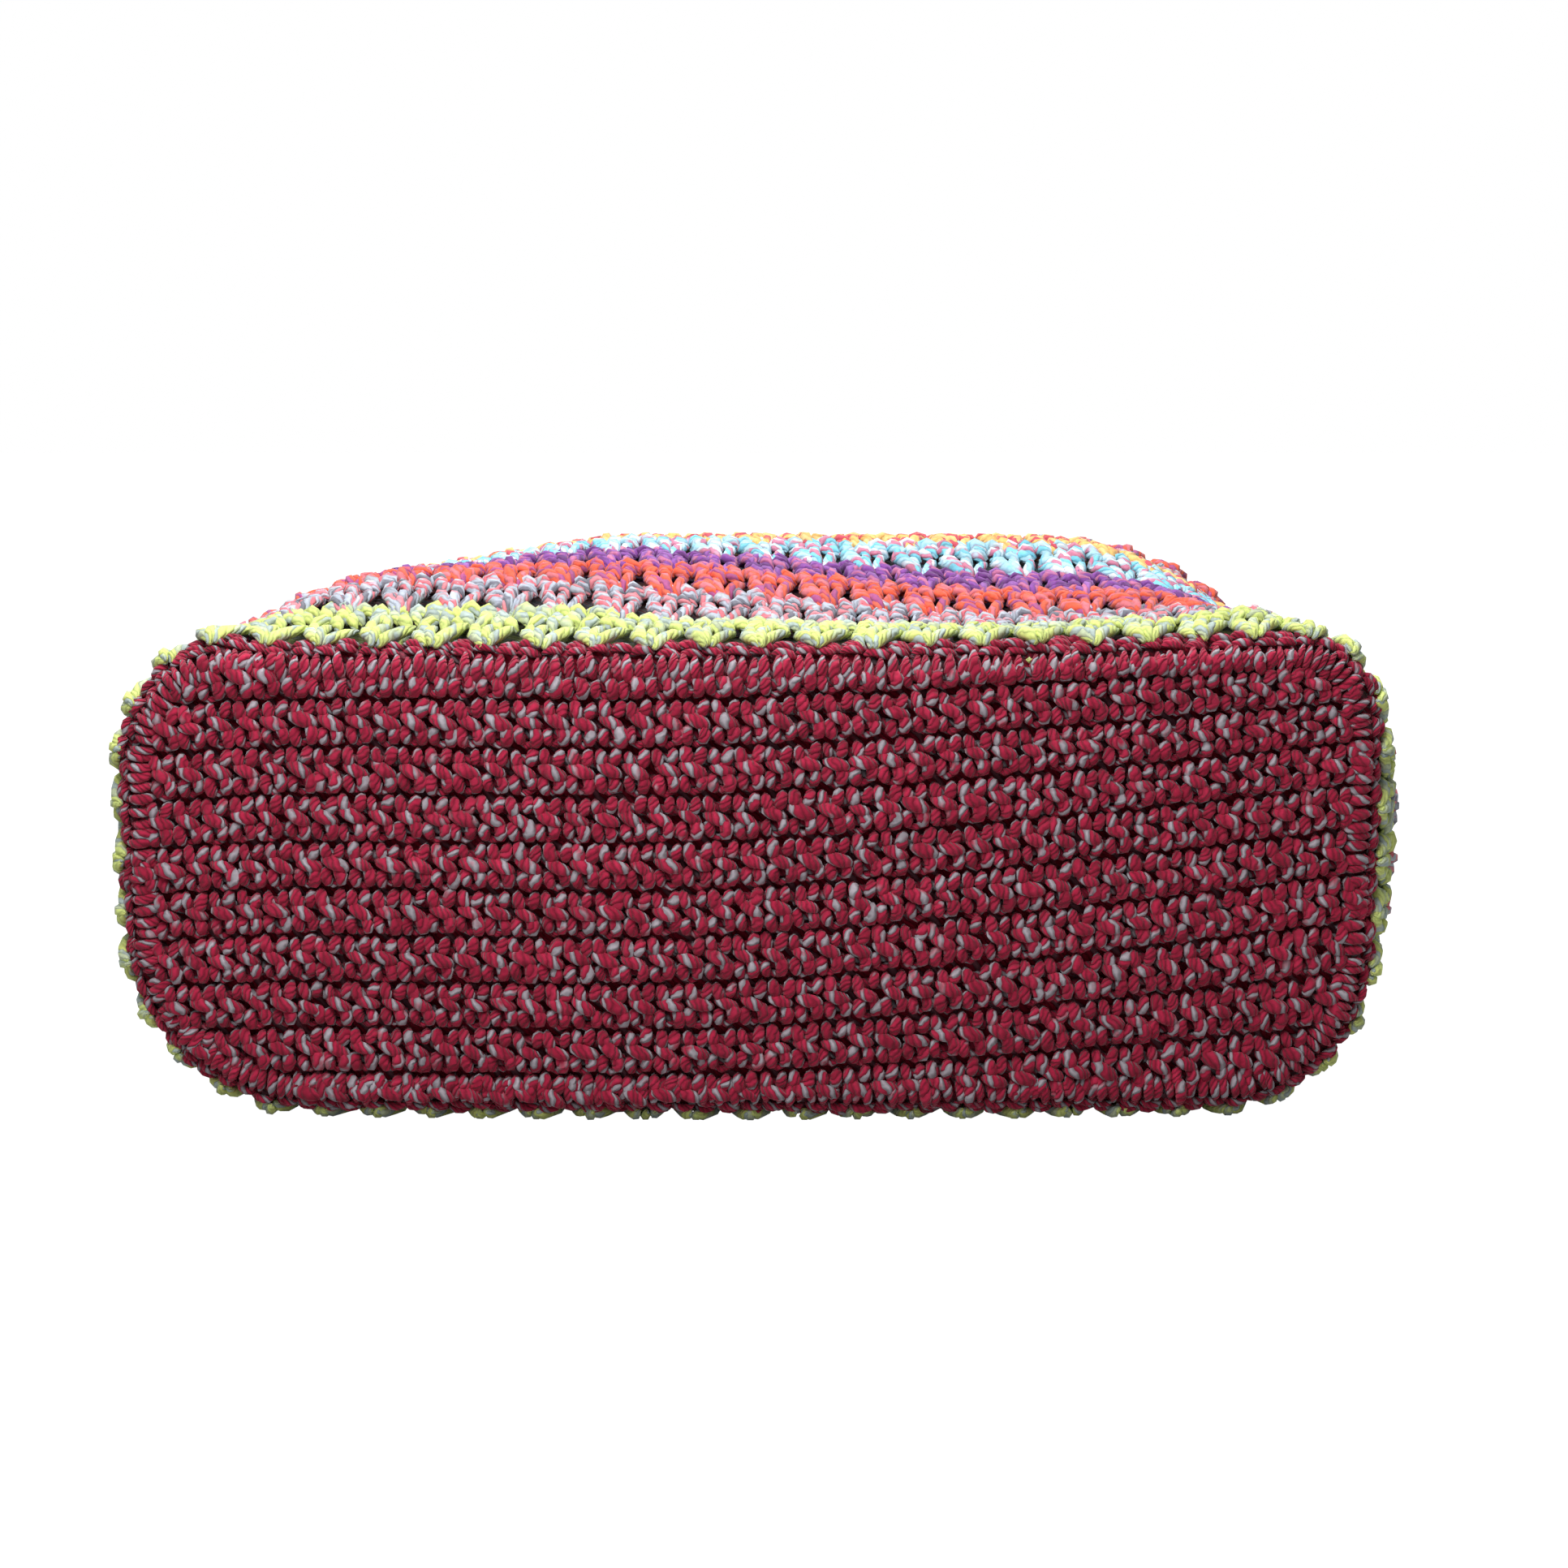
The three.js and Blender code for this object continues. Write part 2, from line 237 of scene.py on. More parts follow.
def smooth_line(points, steps):
    """A soft line through a few points, with steps + 1 points of its own."""
    p = np.array(points, float)
    ends = np.vstack([2 * p[0] - p[1], p, 2 * p[-1] - p[-2]])
    t = np.linspace(0, len(p) - 1, steps + 1)
    k = np.minimum(t.astype(int), len(p) - 2)
    f = (t - k)[:, None]
    a, b, c, d = ends[k], ends[k + 1], ends[k + 2], ends[k + 3]
    return 0.5 * (2 * b + (c - a) * f + (2 * a - 5 * b + 4 * c - d) * f**2 + (3 * b - a - 3 * c + d) * f**3)


def strand(points, thickness, steps=4, sides=6, blunt=0.62, flat=1.0, painted_shade=1.0):
    """One strand of yarn as a closed tube: its corners, its faces, and where each face's corners
    lie along and around the yarn, for the colours. thickness is one size, or one for each point.
    A shade under 1 darkens the colour of a strand that lies deep in the fabric: painted shade."""
    line = smooth_line(points, steps)
    girth = np.broadcast_to(thickness, len(points))
    girth = np.interp(np.linspace(0, 1, steps + 1), np.linspace(0, 1, len(points)), girth)
    along = np.gradient(line, axis=0)
    along /= np.linalg.norm(along, axis=1)[:, None]
    side = np.cross(along[0], (0, 0, 1) if abs(along[0][2]) < 0.9 else (1, 0, 0))
    travelled = np.concatenate([[0], np.cumsum(np.linalg.norm(np.diff(line, axis=0), axis=1))])
    corners = []
    for k, (at, way) in enumerate(zip(line, along)):
        side = side - way * side.dot(way)
        side /= np.linalg.norm(side)
        out = np.cross(side, way)
        r = girth[k] / 2 * (blunt if k in (0, steps) else 1)
        for turn in np.arange(sides) * 2 * math.pi / sides:
            corners.append(at + r * (math.cos(turn) * side + flat * math.sin(turn) * out))
    faces, marks = [], []
    for k in range(steps):
        for j in range(sides):
            n = (j + 1) % sides
            faces.append((k * sides + j, k * sides + n, (k + 1) * sides + n, (k + 1) * sides + j))
            marks.append([(travelled[k], j / sides), (travelled[k], (j + 1) / sides),
                          (travelled[k + 1], (j + 1) / sides), (travelled[k + 1], j / sides)])
    last = steps * sides
    for j in range(1, sides - 2, 2):
        faces.append((0, j + 2, j + 1, j))
        faces.append((last, last + j, last + j + 1, last + j + 2))
        marks.append([(travelled[0], (i + 0.5) / sides) for i in (0, j + 2, j + 1, j)])
        marks.append([(travelled[-1], (i + 0.5) / sides) for i in (0, j, j + 1, j + 2)])
    return np.array(corners), np.array(faces), np.array(marks), painted_shade


def bundle(strands):
    """Several strands as one stitch. It keeps which strand each corner and face belongs to."""
    corners, faces, marks, corner_owner, face_owner, painted_shades = [], [], [], [], [], []
    count = 0
    for number, (own_corners, own_faces, own_marks, painted_shade) in enumerate(strands):
        painted_shades.append(painted_shade)
        corners.append(own_corners)
        faces.append(own_faces + count)
        marks.append(own_marks)
        corner_owner += [number] * len(own_corners)
        face_owner += [number] * len(own_faces)
        count += len(own_corners)
    return {
        "corners": np.vstack(corners),
        "faces": np.vstack(faces),
        "marks": np.vstack(marks),
        "corner_owner": np.array(corner_owner),
        "face_owner": np.array(face_owner),
        "painted_shades": np.array(painted_shades),
    }


def face_outwards(corners, faces, marks):
    """Turns the faces of closed shapes round where their place has turned them inside out."""
    p = corners[faces]
    volume = (p[:, 0] * (np.cross(p[:, 1], p[:, 2]) + np.cross(p[:, 2], p[:, 3]))).sum()
    return (faces, marks) if volume > 0 else (faces[:, ::-1], marks[:, ::-1])


def yarn_piece(name, corners, faces, marks, shade, yarn):
    """An object of one mesh, whose corners are in metres, with its yarn's marks and shade on it."""
    mesh = bpy.data.meshes.new(name)
    mesh.from_pydata(corners, [], faces)
    mesh.uv_layers.new(name="yarn").data.foreach_set("uv", marks.astype(np.float32).ravel())
    mesh.attributes.new("shade", "FLOAT", "POINT").data.foreach_set("value", shade.astype(np.float32))
    mesh.shade_smooth()
    mesh.materials.append(yarn)
    piece = bpy.data.objects.new(name, mesh)
    bpy.context.collection.objects.link(piece)
    return piece


strand_tilt = 0.09
marl_length = 40
shade_spread = 0.08
shade_range = (0.8, 1.2)


def work_stitches(name, stitch, seats, place, yarn, loose=0.25, swell=0.07, extras=()):
    """Works one stitch over many seats and joins them to one mesh. seats holds each stitch's own
    place along and across its row, and place turns (along, across, proud) into the bag's space.
    Every strand gets a little slack of its own, its own turn of the marl and its own shade. extras
    are closed parts of the same mesh that are already in the bag's space."""
    seats = np.array(seats, float)
    flat = stitch["corners"]
    owner = stitch["corner_owner"]
    n, s = len(seats), len(stitch["painted_shades"])
    middle = np.array([flat[owner == k].mean(axis=0) for k in range(s)])[owner]
    slack = chance.normal(0, loose, (n, s, 3)) * (1, 1, 0.8)
    size = 1 + chance.normal(0, swell, (n, s, 1))
    tilt = chance.normal(0, strand_tilt, (n, s))
    away = (flat - middle)[None] * size[:, owner]
    lean = np.cos(tilt)[:, owner], np.sin(tilt)[:, owner]
    turned = np.stack([away[..., 0] * lean[0] - away[..., 1] * lean[1],
                       away[..., 0] * lean[1] + away[..., 1] * lean[0], away[..., 2]], axis=-1)
    local = middle[None] + turned + slack[:, owner]
    where = place(local[..., 0] + seats[:, 0, None], local[..., 1] + seats[:, 1, None], local[..., 2])
    shift = np.stack([chance.uniform(0, marl_length, (n, s)), chance.uniform(0, 1, (n, s))], axis=-1)
    # Each strand's own shade is a random tone of its yarn. The painted shade of strands that lie deep
    # darkens it further.
    own_shade = np.clip(chance.normal(1, shade_spread, (n, s)), *shade_range)
    shade = (stitch["painted_shades"] * own_shade)[:, owner].ravel()
    one_faces, one_marks = face_outwards(where[0], stitch["faces"], stitch["marks"])
    faces = (one_faces[None] + (np.arange(n) * len(flat))[:, None, None]).reshape(-1, 4)
    marks = (one_marks[None] + shift[:, stitch["face_owner"]][:, :, None, :]).reshape(-1, 4, 2)
    corners = where.reshape(-1, 3)
    # The extras carry their own painted shade into the same shade attribute.
    for more_corners, more_faces, more_marks, painted_shade in extras:
        faces = np.vstack([faces, more_faces + len(corners)])
        marks = np.vstack([marks, more_marks])
        corners = np.vstack([corners, more_corners])
        shade = np.concatenate([shade, np.broadcast_to(painted_shade, len(more_corners))])
    return yarn_piece(name, (corners + (0, back_plane, 0)) * 0.001, faces, marks, shade, yarn)


class Dye:
    """A socket of a yarn's or the stand's material, on which + - * write their own maths nodes."""

    def __init__(self, tree, socket=None):
        self.tree = tree
        self.socket = socket

    def node(self, kind, settings=(), values=(), output=0):
        """A node of any kind: its settings first, then its sockets' values or links."""
        made = self.tree.nodes.new(kind)
        for key, value in dict(settings).items():
            setattr(made, key, value)
        for key, value in dict(values).items():
            if isinstance(value, Dye):
                self.tree.links.new(value.socket, made.inputs[key])
            else:
                made.inputs[key].default_value = value
        return Dye(self.tree, made.outputs[output] if len(made.outputs) else None)

    def maths(self, operation, a, b=0.0):
        """One maths node on sockets or numbers."""
        return self.node("ShaderNodeMath", {"operation": operation}, {0: a, 1: b})

    def __add__(self, other):
        return self.maths("ADD", self, other)

    def __mul__(self, other):
        return self.maths("MULTIPLY", self, other)

    def __sub__(self, other):
        return self.maths("SUBTRACT", self, other)

    def __rsub__(self, other):
        return self.maths("SUBTRACT", other, self)

    __radd__ = __add__
    __rmul__ = __mul__


def ink(red, green, blue):
    """A colour as a screen shows it, 0 to 255, as Blender's own light values."""
    light = [((c / 255 + 0.055) / 1.055) ** 2.4 if c > 10 else c / 255 / 12.92 for c in (red, green, blue)]
    return (*light, 1)


def yarn_material(name, plies, twist=0.19, crease=0.42):
    """Matt plied yarn: each ply has its own colour and roundness and winds round the strand. The
    winding wanders a little, and the first ply's colour covers the others here and there."""
    made = bpy.data.materials.new(name)
    made.use_nodes = True
    tree = made.node_tree
    tree.nodes.clear()
    dye = Dye(tree)
    place = dye.node("ShaderNodeTexCoord", (), (), 3)
    marks = dye.node("ShaderNodeUVMap", {"uv_map": "yarn"})
    along = dye.node("ShaderNodeSeparateXYZ", (), {0: marks})
    around = Dye(tree, along.socket.node.outputs[1])
    wander = dye.node("ShaderNodeTexNoise", (), {"Vector": place, "Scale": 260.0, "Detail": 1.0})
    phase = dye.maths("FRACT", around + along * twist + wander * 0.5)
    ply_at = dye.maths("FRACT", phase * len(plies))
    roundness = dye.maths("SINE", ply_at * math.pi)
    ramp = tree.nodes.new("ShaderNodeValToRGB")
    ramp.color_ramp.interpolation = "CONSTANT"
    for k, colour in enumerate(plies):
        stop = ramp.color_ramp.elements[k] if k < 2 else ramp.color_ramp.elements.new(k / len(plies))
        stop.position = k / len(plies)
        stop.color = ink(*colour)
    tree.links.new(phase.socket, ramp.inputs[0])
    patch = dye.node("ShaderNodeTexNoise", (), {"Vector": place, "Scale": 170.0, "Detail": 1.0})
    covered = dye.node("ShaderNodeClamp", (), {0: patch * 9 - 5.2})
    mixed = dye.node("ShaderNodeMix", {"data_type": "RGBA"},
                     {0: covered, 6: Dye(tree, ramp.outputs[0]), 7: ink(*plies[0])}, 2)
    fleck = dye.node("ShaderNodeTexNoise", (), {"Vector": place, "Scale": 900.0, "Detail": 2.0})
    # The shade attribute holds each strand's random tone and the painted shade of strands that lie deep.
    shade = dye.node("ShaderNodeAttribute", {"attribute_name": "shade"}, (), 2)
    # The colour is darkened between the plies, as much as crease says: painted shade in the creases. crease
    # also sets the bump's strength.
    light = (roundness * crease + (1.08 - crease)) * shade * (fleck * 0.5 + 0.75)
    colour = dye.node("ShaderNodeVectorMath", {"operation": "SCALE"}, {0: mixed, "Scale": light})
    height = roundness * 0.75 + fleck * 0.25
    bump = dye.node("ShaderNodeBump", (), {
        "Strength": 0.3 + 1.4 * crease, "Distance": 0.0006, "Height": height})
    cloth = dye.node("ShaderNodeBsdfPrincipled", (), {
        "Base Color": colour, "Roughness": 0.85, "Specular IOR Level": 0.2,
        "Sheen Weight": 0.15, "Sheen Roughness": 0.5, "Normal": bump})
    dye.node("ShaderNodeOutputMaterial", (), {"Surface": cloth})
    return made


def stitch_row_rise(x, z):
    """The rows climb to the right, most in the panel's middle, and droop a little at the left."""
    v = np.clip((z - base_lift) / base_height, 0, 1)
    climb = rise_foot * (1 - 2 * v) * (1 - v) + rise_middle * 4 * v * (1 - v) + rise_head * v * (2 * v - 1)
    right = np.maximum(0, (x + rise_start) / (base_width / 2 + rise_start)) ** rise_power
    left = np.maximum(0, (droop_width - base_width / 2 - x) / droop_width)
    return climb * right - row_droop * left * left


def base_face(x, z, proud):
    """A point on the base's rows: z is the height before the rows climb."""
    across = np.maximum(0, 1 - (2 * x / base_width) ** 2)
    up = np.maximum(0, 1 - (2 * (z - base_lift) / base_height - 1) ** 2)
    y = -clearance - base_thickness - base_crown * across * up - base_bowing(x, 0 * x) - proud
    return np.stack([x, y, z + stitch_row_rise(x, z)], axis=-1)


crimson_marl = yarn_material("crimson_marl", [(184, 38, 72), (172, 164, 172), (172, 30, 64), (160, 26, 58)])

# In both stitches the flat strand behind the others lies deep, and its colour is darkened: painted shade.
bar_and_small_legs = bundle([
    strand([(-2.9, 7.3, -1.0), (-1.1, 6.8, 0.7), (1.1, 5.8, 0.8), (2.9, 4.8, -0.9)],
           (2.1, 3.2, 3.2, 2.1), 5),
    strand([(-2.3, 11.1, -2.4), (-2.0, 9.9, 0.0), (-1.6, 8.5, 0.2), (-0.8, 7.0, -1.1)],
           (2.0, 3.0, 3.0, 1.9), 4),
    strand([(2.1, 11.1, -2.4), (1.9, 9.9, 0.1), (1.6, 8.6, 0.2), (0.9, 7.2, -1.1)],
           (2.0, 3.0, 3.0, 1.9), 4),
    strand([(-3.5, 8.2, -2.5), (3.5, 8.2, -2.5)], 4.6, 1, painted_shade=0.72),
])
round_legs = bundle([
    strand([(0.2, 5.3, -1.1), (1.8, 4.1, 0.3), (2.1, 2.5, 0.1), (0.9, 0.9, -1.9)],
           (2.0, 3.3, 3.3, 2.1), 4),
    strand([(-1.2, 5.4, -1.3), (-2.0, 3.9, 0.0), (-1.8, 2.4, -0.1), (-1.2, 0.9, -1.9)],
           (2.0, 3.1, 3.1, 2.0), 4),
    strand([(-2.3, 1.6, -2.3), (0.0, 0.9, -1.4), (2.3, 1.6, -2.3)], 2.0, 2),
    strand([(-3.5, 3.2, -2.6), (3.5, 3.2, -2.6)], 4.4, 1, painted_shade=0.72),
])

rows_under_edging = 3.2
line_points = 240
line_inset = edging_inset + edging_width - rows_under_edging
edging_line = wall_point(np.arange(line_points) / line_points, 0.0, -line_inset)


def inside_edging(x, z):
    """Whether points lie within the edging's inner line."""
    before = np.roll(edging_line, 1, axis=0)
    hits = np.zeros(x.shape, int)
    for (x0, _, z0), (x1, _, z1) in zip(before, edging_line):
        crosses = (z0 > z) != (z1 > z)
        if abs(z1 - z0) > 1e-9:
            hits += crosses & (x < x0 + (z - z0) * (x1 - x0) / (z1 - z0))
    return hits % 2 == 1


# More rows and stitches are worked than the panel holds, and those past its edging are left out.
worked_pairs = 14
half_row = 23
row_shift = 1.1
row_shift_turn = 2.1
row_seats = []
for pair in range(worked_pairs):
    foot = rows_start + pair * row_pair
    for k in range(-half_row, half_row + 1):
        row_seats.append((k * stitch_width + row_shift * math.sin(row_shift_turn * pair), foot))
row_seats = np.array(row_seats)
row_stitches = (("base_rows", bar_and_small_legs, 8.0), ("base_round_legs", round_legs, 3.0))
for name, stitch, middle_height in row_stitches:
    middle = base_face(row_seats[:, 0], row_seats[:, 1] + middle_height, 0.0)
    seats = row_seats[inside_edging(middle[:, 0], middle[:, 2])]
    rows = work_stitches(name, stitch, seats, base_face, crimson_marl)
    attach(rows, "root")
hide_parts("base_panel")

# The base's edging: one round of single crochet in the same yarn, worked round the panel. Its legs
# lie across the panel's edge, and its chain of loops rolls over to the wall's side.
edging_stitches = 144
edging_run = 816
edging_pitch = edging_run / edging_stitches


def edging_face(a, inset, proud):
    """a runs round the panel's edge, inset inwards from it, and proud to the front."""
    return wall_point(a / edging_run, 0.0, -(edging_inset + inset), -clearance - base_thickness - proud)


edging_stitch = bundle([
    strand([(-1.9, 6.6, -1.9), (-1.5, 5.0, 0.2), (-1.1, 2.6, 0.6), (-1.3, 0.3, -1.3)],
           (1.9, 2.8, 2.8, 1.9), 4),
    strand([(0.9, 6.6, -1.9), (1.3, 5.0, 0.1), (1.7, 2.6, 0.5), (1.5, 0.3, -1.3)],
           (1.9, 2.8, 2.8, 1.9), 4),
    strand([(-2.7, 0.2, -2.2), (-0.9, -0.7, -1.9), (1.2, -0.8, -2.2), (2.8, 0.0, -3.0)],
           (1.7, 2.2, 2.2, 1.7), 4),
    strand([(-2.8, -0.8, -3.6), (-0.9, -1.7, -3.5), (1.2, -1.8, -4.0), (2.9, -0.9, -4.8)],
           (1.7, 2.2, 2.2, 1.7), 4),
    # The two strands that lie deepest are painted darker: painted shade.
    strand([(-3.0, -1.4, -5.7), (0.0, -1.9, -5.4), (3.0, -1.4, -5.8)], 2.4, 3, painted_shade=0.7),
    strand([(-3.2, 1.6, -4.6), (3.2, 1.6, -4.6)], 4.4, 1, painted_shade=0.5),
])
edging_seats = [(k * edging_pitch, 0) for k in range(edging_stitches)]
base_edging = work_stitches(
    "base_edging", edging_stitch, edging_seats, edging_face, crimson_marl, loose=0.36)
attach(base_edging, "root")

# The base's inner face: the back of the same stitches, which shows in the grooves between the rows
# and from inside the bag. It is one closed sheet that follows the panel's bulge, in a darker copy of
# the base's yarn, which paints the shade of the grooves: painted shade.
sheet_thickness = 2.0
sheet_back = 0.4
sheet_inset = 2.2
sheet_points = 120
sheet_shares = (1, 0.93, 0.75, 0.5, 0.25, 0.02)
rows_apart = row_pair / 2
# The sheet's plies are darker copies of the crimson marl's plies: painted shade.
groove_painted_shade = yarn_material("crimson_marl_painted_shade", [(168, 24, 56), (150, 96, 108), (150, 20, 48)])
sheet_edge = wall_point(np.arange(sheet_points) / sheet_points, 0.0, -sheet_inset, 0.0) * (1, 0, 1)
sheet_centre = np.array([0, 0, base_lift + base_height / 2])
sheet_rings = []
for depth, order in ((sheet_back, sheet_shares[::-1]), (sheet_back + sheet_thickness, sheet_shares)):
    for share in order:
        line = sheet_centre + (sheet_edge - sheet_centre) * share
        on_face = base_face(line[:, 0], line[:, 2], -base_thickness - clearance + depth)
        line[:, 1] = on_face[:, 1] + back_plane
        sheet_rings.append(line * 0.001)
sheet_faces = []
for k in range(len(sheet_rings) - 1):
    near = k * sheet_points
    far = near + sheet_points
    for j in range(sheet_points):
        n = (j + 1) % sheet_points
        sheet_faces.append((near + j, near + n, far + n, far + j))
sheet_faces.append(tuple(range(sheet_points))[::-1])
sheet_faces.append(tuple((len(sheet_rings) - 1) * sheet_points + j for j in range(sheet_points)))
sheet_corners = np.vstack(sheet_rings)
at_faces = sheet_corners[[corner for face in sheet_faces for corner in face]]
sheet_marks = at_faces[:, (0, 2)] * 1000 * (1, 1 / rows_apart)
sheet_tone = np.ones(len(sheet_corners))
base_inner = yarn_piece(
    "base_inner_face", sheet_corners, sheet_faces, sheet_marks, sheet_tone, groove_painted_shade)
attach(base_inner, "root")

# The wall: twelve rounds of clusters, each round in its own yarn. A cluster is a fan of tall stitches
# worked into one place, so it is narrow at its foot and wide at its head, with a hole between feet.
clusters = 60
cluster_width = 13.6
cluster_run = clusters * cluster_width
cluster_drift = 0.8
cluster_twist = 0.11
cluster_crease = 0.2
chain_pitch = 4.5


def work_cluster(tall, short):
    """One cluster: four slanted legs, three strands over their heads, a row of chain loops, and the
    posts of its inner side. tall and short are the steps of its longer and its shorter strands."""
    leg = (2.0, 3.2, 3.0, 2.1)
    head = (2.0, 3.0, 2.1)
    strands = [
        strand([(-0.9, -3.8, -0.5), (-2.2, -0.9, 1.1), (-4.0, 3.4, 1.1), (-5.6, 7.6, 0.0)], leg, tall),
        strand([(0.0, -4.3, -0.3), (0.0, -0.9, 1.9), (0.5, 3.0, 1.7), (0.2, 6.6, 0.5)], leg, tall),
        strand([(0.8, -3.5, -0.4), (2.3, -0.3, 1.4), (4.3, 3.0, 1.0), (6.1, 5.8, -0.4)], leg, tall),
        strand([(0.9, -0.6, 0.2), (2.6, 2.8, 1.4), (4.3, 5.7, 1.0), (5.7, 8.4, -0.3)], leg, tall),
        strand([(-5.5, 6.6, -0.4), (-3.6, 8.0, 1.3), (-1.6, 9.6, 0.3)], head, short),
        strand([(-1.4, 4.8, 0.4), (-0.3, 7.3, 1.7), (1.9, 9.2, 0.5)], head, short),
        strand([(2.0, 9.6, 0.2), (3.9, 7.9, 1.5), (6.0, 6.6, -0.2)], head, short),
    ]
    for k in (-1, 0, 1):
        middle = chain_pitch * k
        strands += [
            strand([(middle - 2.3, 8.8, -0.2), (middle - 0.2, 10.6, 1.3), (middle + 1.9, 11.4, 0.1)],
                   head, short),
            strand([(middle - 2.6, 11.5, -0.7), (middle - 0.9, 13.3, 0.9), (middle + 1.2, 13.9, 0.8),
                    (middle + 2.9, 12.5, -0.8)], (2.0, 2.8, 2.8, 2.0), tall),
            strand([(2.4 * k, -0.8, -4.4), (middle, 14.6, -4.3)], 4.2, 1, flat=0.6),
        ]
    # The chain loops at each end lie a little deeper, and their colour is darkened a little: painted shade.
    for end in (-cluster_width / 2, cluster_width / 2):
        strands.append(strand([(end - 2.3, 13.9, -1.5), (end, 15.5, -0.8), (end + 2.3, 14.4, -1.7)],
                              (1.9, 2.5, 1.9), 2, painted_shade=0.85))
    strands.append(strand([(-7.4, 14.2, -4.8), (7.4, 14.2, -4.8)], 4.0, 1, flat=0.7))
    return bundle(strands)


near_cluster = work_cluster(4, 3)
far_cluster = work_cluster(3, 2)
first_far_round = 6

sunk = 0.6
tighter = {5: 0.7, 6: 2.2, 7: 1.4}
hook = 0.6
first_hook = 0.9


def cluster_foot(number, k):
    """How far into its round a cluster starts. On top of the bag, the first round's clusters reach
    over the base's edging, and they reach less and less towards the underside."""
    if number:
        return hook
    return -first_hook * (0.5 - 0.5 * math.cos(2 * math.pi * k / clusters))


def wall_face(number):
    """The face of a round: a round it, b towards the mouth, and proud outwards. The rounds behind
    the bag's highest place are worked a little tighter, which draws them in."""
    in_by = sunk + tighter.get(number, 0)

    def place(a, b, proud):
        return wall_point(a / cluster_run, number * round_depth + b, proud - in_by)

    return place


def cloth_core(sections, closed, painted_shade):
    """The thin closed cloth in the middle of the stitches, which keeps light from coming through
    between them. sections holds a small loop of points for each step along the band."""
    steps, around = sections.shape[:2]
    corners = sections.reshape(-1, 3)
    faces = []
    for k in range(steps if closed else steps - 1):
        on = (k + 1) % steps
        for j in range(around):
            n = (j + 1) % around
            faces.append((k * around + j, k * around + n, on * around + n, on * around + j))
    if not closed:
        faces.append(tuple(range(around))[::-1])
        faces.append(tuple((steps - 1) * around + j for j in range(around)))
    faces = np.array(faces)
    at = corners[faces]
    marks = np.stack([at[..., 0], (at[..., 1] + at[..., 2]) / rows_apart], axis=-1)
    faces, marks = face_outwards(corners, faces, marks)
    return corners, faces, marks, painted_shade


def ring_core(place, run, reaches, prouds, painted_shades, steps=180):
    """The cloth core of a round: reaches are its places from its near to its far edge, and prouds
    and painted shades are those of its outer and its inner face."""
    a = np.arange(steps) * run / steps
    loop = [(b, prouds[0]) for b in reaches] + [(b, prouds[1]) for b in reaches[::-1]]
    sections = np.stack([place(a, b + 0 * a, proud + 0 * a) for b, proud in loop], axis=1)
    return cloth_core(sections, True, np.tile(np.repeat(painted_shades, len(reaches)), steps))


round_yarns = {
    "yellow": [(220, 235, 142), (198, 210, 174), (178, 194, 188), (216, 227, 132)],
    "grey_pink": [(182, 190, 204), (226, 118, 130), (194, 198, 208), (228, 138, 148), (120, 120, 132)],
    "coral": [(236, 98, 70), (222, 120, 130), (234, 106, 84), (170, 84, 136)],
    "purple": [(138, 76, 160), (200, 116, 158), (156, 100, 176), (106, 54, 122)],
    "light_blue": [(182, 228, 244), (132, 212, 232), (216, 134, 162), (226, 234, 243)],
    "gold": [(248, 200, 120), (216, 88, 104), (248, 212, 142)],
}
dyed_yarns = {
    name: yarn_material(f"{name}_plies", plies, cluster_twist, cluster_crease)
    for name, plies in round_yarns.items()
}
# The core's outer face is painted near black and its inner face darker, as painted shade in the holes
# between clusters.
core_reaches = (-1.0, 6.6, round_depth)
core_prouds = (-3.0, -4.0)
core_painted_shades = (0.14, 0.7)
for number in range(wall_rounds):
    colour_name = list(round_yarns)[number % len(round_yarns)]
    repeat = number // len(round_yarns) + 1
    yarn = dyed_yarns[colour_name]
    drift = chance.uniform(-cluster_drift, cluster_drift)
    seats = [(k * cluster_width + drift, cluster_foot(number, k)) for k in range(clusters)]
    face = wall_face(number)
    stitch = near_cluster if number < first_far_round else far_cluster
    core = ring_core(face, cluster_run, core_reaches, core_prouds, core_painted_shades)
    piece = work_stitches(f"{colour_name}_clusters_{repeat}", stitch, seats, face, yarn, extras=[core])
    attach(piece, "root")
    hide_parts(f"{colour_name}_round_{repeat}")

# The rim: six rounds of single crochet in the base's yarn, which draw the mouth in. They are worked
# in pairs as the base is, and both of their faces show, the inner one through the mouth.
rim_stitches = 120
rim_pairs = 3
rim_run = rim_stitches * stitch_width
band_strands = [
    strand([(-2.75, 7.5, -0.9), (-1.2, 7.0, 0.4), (1.2, 6.0, 0.5), (2.75, 5.3, -0.7)],
           (2.2, 3.1, 3.1, 2.2), 3),
    strand([(-2.1, 11.2, -2.2), (-1.7, 9.6, -0.4), (-0.5, 7.8, -1.4)], (2.0, 2.9, 2.0), 2),
    strand([(2.0, 11.2, -2.2), (1.6, 9.6, -0.4), (0.6, 7.8, -1.4)], (2.0, 2.9, 2.0), 2),
    strand([(0.1, 5.3, -1.2), (2.0, 3.2, 0.1), (1.1, 0.9, -2.0)], (2.2, 3.3, 2.1), 2),
    strand([(-1.3, 5.6, -1.4), (-2.1, 3.2, 0.0), (-1.4, 0.9, -2.0)], (2.2, 3.2, 2.1), 2),
]
